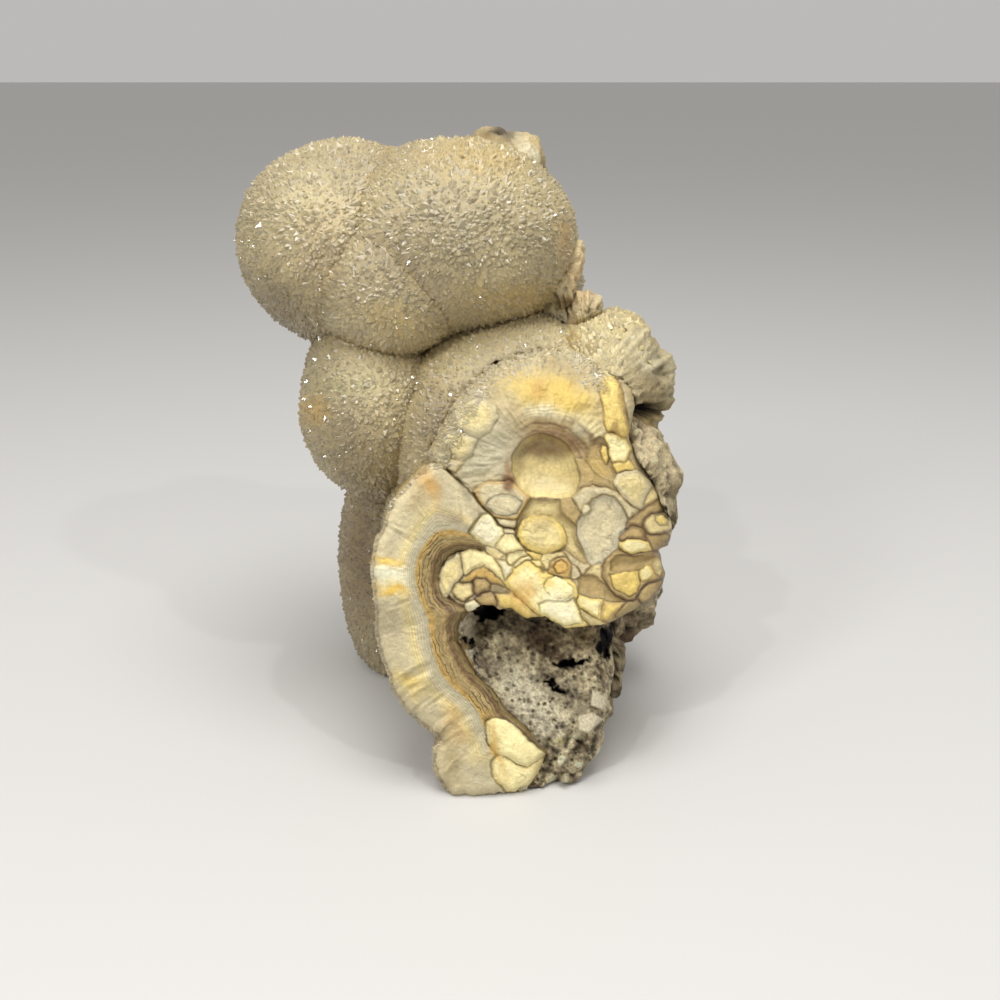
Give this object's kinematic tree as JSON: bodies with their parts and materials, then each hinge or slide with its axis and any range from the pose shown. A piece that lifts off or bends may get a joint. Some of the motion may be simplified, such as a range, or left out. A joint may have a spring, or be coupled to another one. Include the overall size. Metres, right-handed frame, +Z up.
{
  "type": "druzy quartz geode",
  "caption": "Standing geode specimen: rounded druzy quartz lobes over a broken face of banded agate and porous host rock, resting on its own feet.",
  "frame": {"origin": "bottom centre of the specimen's box, on the surface it rests on", "axes": "+Z up, -Y towards the broken agate face, +X to the right as seen from that side"},
  "size_m": [0.1569, 0.1579, 0.211],
  "materials": {
    "quartz": "translucent beige-grey quartz with glassy crystal points, and cream agate with brown bands where it is broken open",
    "host_rock": "rough, porous grey-brown rock"
  },
  "bodies": {
    "root": {"quartz_lobes": "quartz", "host_rock": "host_rock"}
  },
  "joints": []
}
